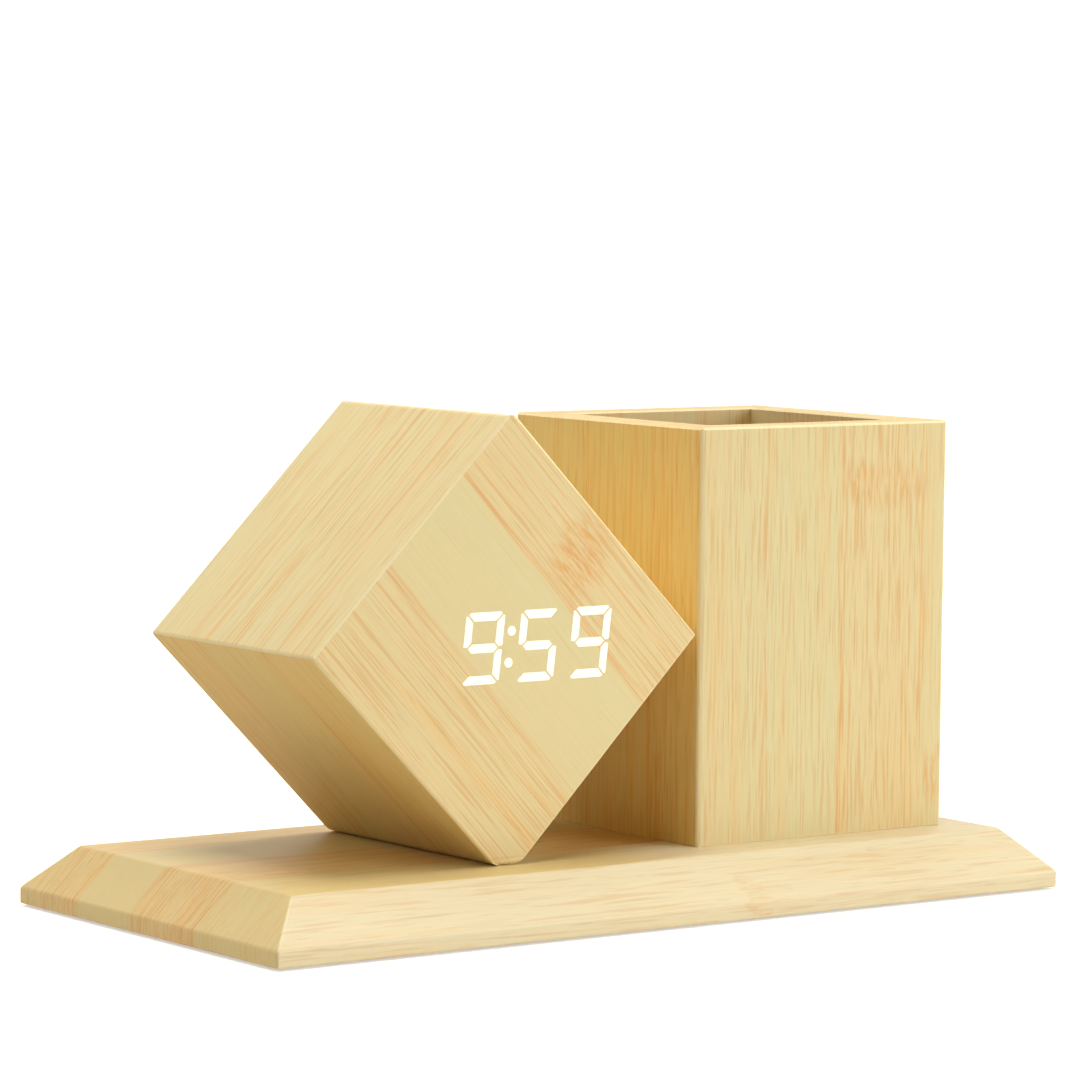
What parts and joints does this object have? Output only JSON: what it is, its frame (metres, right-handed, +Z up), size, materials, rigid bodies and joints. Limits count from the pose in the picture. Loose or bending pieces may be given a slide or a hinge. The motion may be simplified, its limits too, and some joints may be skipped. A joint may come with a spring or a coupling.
{
  "type": "desk clock with pen holder",
  "caption": "Bamboo desk set: a square clock case standing on its edge, with lit digits in its face, beside an open square pen holder on a bevelled base board.",
  "frame": {"origin": "middle of the base board at the height of the foot pads' undersides", "axes": "+X along the base board towards the pen holder, +Y to the back, +Z up"},
  "size_m": [0.2, 0.098, 0.1043],
  "materials": {
    "bamboo": "satin",
    "inner_wood": "raw",
    "lit_white": "glowing",
    "pad_rubber": "matt",
    "screw_steel": "plain",
    "film_white": "matt",
    "reflector_white": "matt",
    "led_amber": "gloss",
    "board_green": "satin",
    "chip_black": "matt",
    "can_steel": "plain",
    "ribbon_grey": "matt",
    "cover_black": "fine texture",
    "cell_sleeve": "gloss",
    "contact_steel": "plain",
    "button_grey": "satin",
    "knob_white": "satin"
  },
  "bodies": {
    "stand": {"base_board": "bamboo", "holder_front_wall": "bamboo", "holder_back_wall": "bamboo", "holder_left_wall": "bamboo", "holder_right_wall": "bamboo", "case_upper_left_board": "bamboo", "case_upper_right_board": "bamboo", "case_lower_left_board": "bamboo", "case_lower_right_board": "bamboo", "front_panel": "bamboo", "holder_floor": "inner_wood", "corner_blocks": "inner_wood", "bottom_block": "inner_wood", "lit_bars": "lit_white", "foot_pads": "pad_rubber", "holder_screws": "screw_steel", "case_screws": "screw_steel", "display_screws": "screw_steel", "cover_screws": "screw_steel", "strip_screws": "screw_steel", "diffuser_film": "film_white", "segment_reflector": "reflector_white", "ribbon_sockets": "reflector_white", "segment_leds": "led_amber", "display_board": "board_green", "button_board": "board_green", "power_board": "board_green", "control_chip": "chip_black", "buzzer": "chip_black", "tact_switches": "chip_black", "clock_crystal": "can_steel", "power_inlet": "can_steel", "slide_switch_body": "can_steel", "button_ribbon": "ribbon_grey", "power_ribbon": "ribbon_grey", "back_cover": "cover_black", "battery_cells": "cell_sleeve", "battery_contacts": "contact_steel"},
    "set_button": {"set_button": "button_grey"},
    "up_button": {"up_button": "button_grey"},
    "down_button": {"down_button": "button_grey"},
    "slide_switch_knob": {"slide_switch_knob": "knob_white"},
    "battery_door": {"battery_door": "cover_black"}
  },
  "joints": [
    {"name": "set_button_press", "type": "slide", "parent": "stand", "child": "set_button", "axis": [0, -1, 0], "range_m": [0, 0.0008], "stiffness_N_per_m": 500},
    {"name": "up_button_press", "type": "slide", "parent": "stand", "child": "up_button", "axis": [0, -1, 0], "range_m": [0, 0.0008], "stiffness_N_per_m": 500},
    {"name": "down_button_press", "type": "slide", "parent": "stand", "child": "down_button", "axis": [0, -1, 0], "range_m": [0, 0.0008], "stiffness_N_per_m": 500},
    {"name": "slide_switch", "type": "slide", "parent": "stand", "child": "slide_switch_knob", "axis": [-0.7071, 0, 0.7071], "range_m": [0, 0.002]},
    {"name": "battery_door_hinge", "type": "hinge", "parent": "stand", "child": "battery_door", "pos_m": [-0.02079, 0.028, 0.06884], "axis": [0.7071, 0, -0.7071], "range_deg": [0, 85]}
  ]
}
